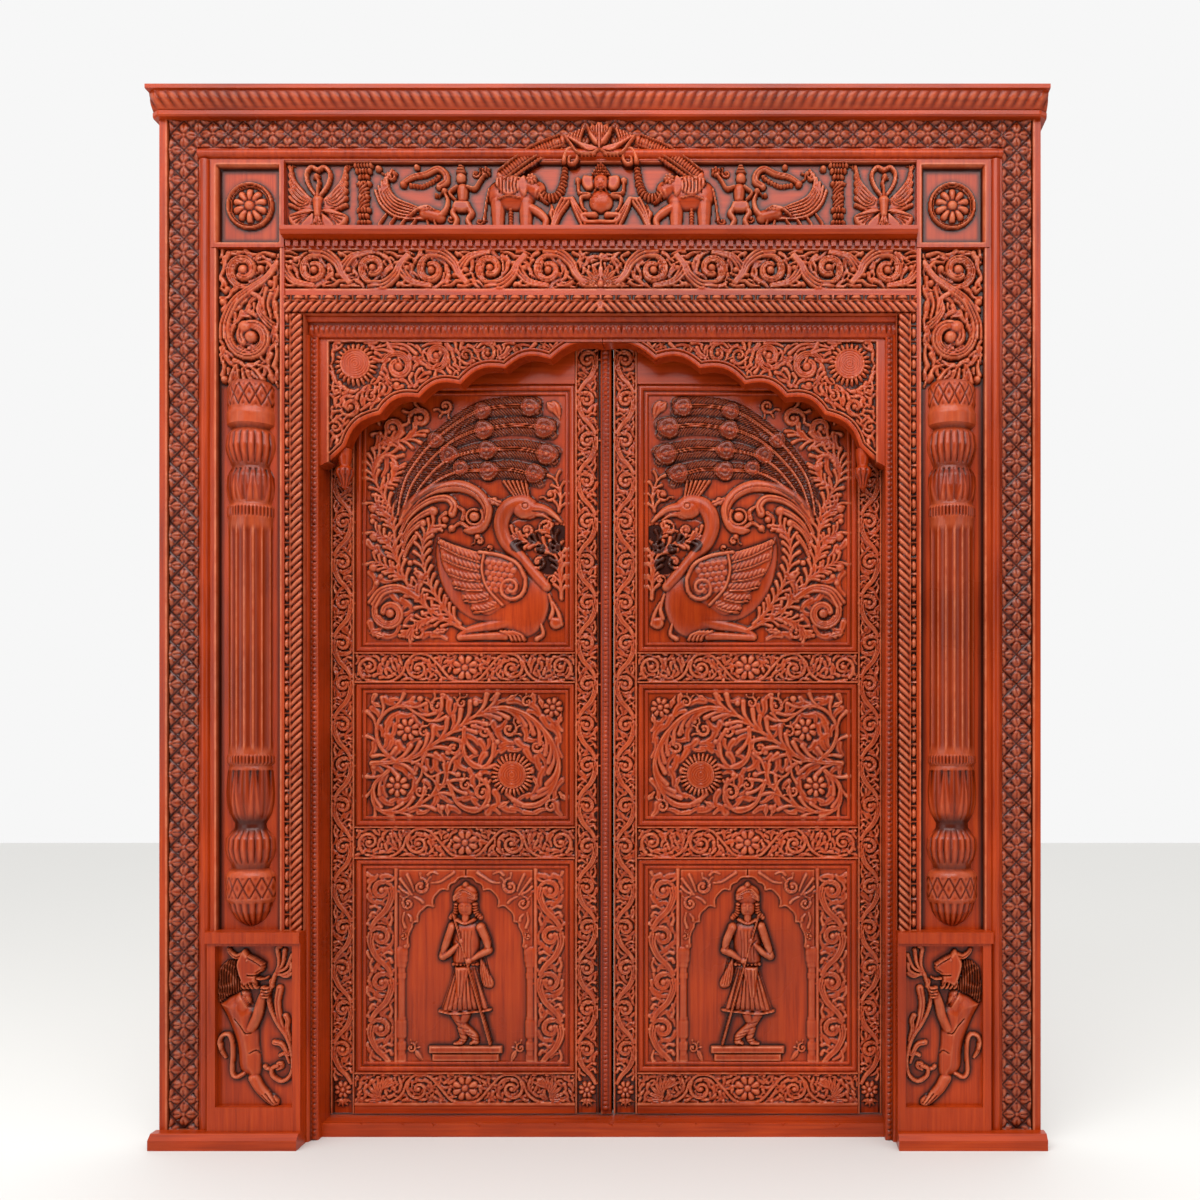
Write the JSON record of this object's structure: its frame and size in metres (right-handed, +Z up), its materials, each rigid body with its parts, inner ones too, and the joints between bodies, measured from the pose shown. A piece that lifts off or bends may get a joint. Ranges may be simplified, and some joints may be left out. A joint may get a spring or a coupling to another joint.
{
  "type": "carved double door with frame",
  "caption": "Carved wooden double door in its full surround, with leaves that swing inwards and sliding bolts.",
  "frame": {"origin": "floor under the middle of the door, midway through its depth", "axes": "+Z up, +Y inwards, the way the leaves open, +X to the right seen from outside"},
  "size_m": [2.41, 0.232, 2.84],
  "materials": {
    "teak": "semi-gloss varnish",
    "dark_teak": "semi-gloss varnish",
    "hinge_brass": "satin",
    "bolt_iron": "satin"
  },
  "bodies": {
    "frame": {"left_jamb": "teak", "right_jamb": "teak", "head": "teak", "threshold": "teak", "lattice_left": "dark_teak", "lattice_right": "dark_teak", "lattice_top": "dark_teak", "cornice": "teak", "border_bead": "teak", "corner_block_left": "teak", "corner_block_right": "teak", "frieze_board": "teak", "frieze_crest": "teak", "frieze_ledge": "dark_teak", "vine_lintel": "teak", "gadroon_left": "teak", "gadroon_right": "teak", "gadroon_top": "teak", "bead_architrave": "teak", "pilaster_board_left": "dark_teak", "pilaster_board_right": "dark_teak", "column_left": "teak", "column_right": "teak", "pedestal_left": "teak", "pedestal_right": "teak", "lion_panel_left": "teak", "lion_panel_right": "teak", "skirting_left": "teak", "skirting_right": "teak", "arch_left": "teak", "arch_right": "teak", "hinge_frame_plates": "hinge_brass", "hinge_pins": "hinge_brass", "bolt_keeper": "bolt_iron"},
    "left_leaf": {"hinge_stile_left": "teak", "meeting_stile_left": "teak", "top_rail_left": "teak", "upper_rail_left": "teak", "lower_rail_left": "teak", "bottom_rail_left": "teak", "peacock_panel_left": "teak", "flower_panel_left": "teak", "guard_panel_left": "teak", "panel_beads_left": "teak", "hinge_leaf_plates_left": "hinge_brass", "astragal": "teak", "bolt_barrels": "bolt_iron"},
    "right_leaf": {"hinge_stile_right": "teak", "meeting_stile_right": "teak", "top_rail_right": "teak", "upper_rail_right": "teak", "lower_rail_right": "teak", "bottom_rail_right": "teak", "peacock_panel_right": "teak", "flower_panel_right": "teak", "guard_panel_right": "teak", "panel_beads_right": "teak", "hinge_leaf_plates_right": "hinge_brass"},
    "top_bolt": {"top_bolt": "bolt_iron"},
    "bottom_bolt": {"bottom_bolt": "bolt_iron"}
  },
  "joints": [
    {"name": "left_leaf_swing", "type": "hinge", "parent": "frame", "child": "left_leaf", "pos_m": [-0.787, 0.101, 0], "axis": [0, 0, 1], "range_deg": [0, 100]},
    {"name": "right_leaf_swing", "type": "hinge", "parent": "frame", "child": "right_leaf", "pos_m": [0.787, 0.101, 0], "axis": [0, 0, -1], "range_deg": [0, 100]},
    {"name": "top_bolt_slide", "type": "slide", "parent": "left_leaf", "child": "top_bolt", "axis": [0, 0, 1], "range_m": [0, 0.034]},
    {"name": "bottom_bolt_slide", "type": "slide", "parent": "left_leaf", "child": "bottom_bolt", "axis": [0, 0, -1], "range_m": [0, 0.034]}
  ]
}
